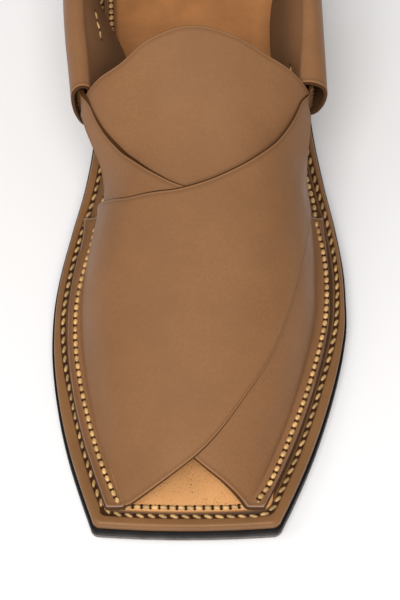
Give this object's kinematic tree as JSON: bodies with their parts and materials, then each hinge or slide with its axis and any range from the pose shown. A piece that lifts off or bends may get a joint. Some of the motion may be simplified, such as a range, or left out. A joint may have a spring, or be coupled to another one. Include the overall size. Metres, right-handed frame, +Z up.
{
  "type": "peshawari chappal",
  "caption": "Left peshawari chappal with a squared toe, crossing leather panels, a tongue, an open toe and heel sides, and a folded heel strap.",
  "frame": {"origin": "centre of the shoe's bounding box on the floor plane, under the sole", "axes": "+Y from the toe to the heel, +X towards the outer side of the left foot, +Z up"},
  "size_m": [0.1142, 0.2899, 0.0893],
  "materials": {
    "outsole_rubber": "matte black, smooth moulded side",
    "midsole_leather": "smooth tan-brown rim, soft sheen, rounded edge",
    "insole_leather": "natural vegetable-tanned leather, matte, small dark pores",
    "upper_leather": "smooth taupe-brown leather, fine grain, low satin gloss",
    "tongue_leather": "smooth taupe-brown leather, fine grain, low satin gloss",
    "strap_leather": "smooth taupe-brown leather, folded, low satin gloss"
  },
  "bodies": {
    "root": {"outsole": "outsole_rubber", "midsole": "midsole_leather", "insole": "insole_leather", "upper": "upper_leather", "tongue": "tongue_leather", "heel_strap": "strap_leather"}
  },
  "joints": []
}
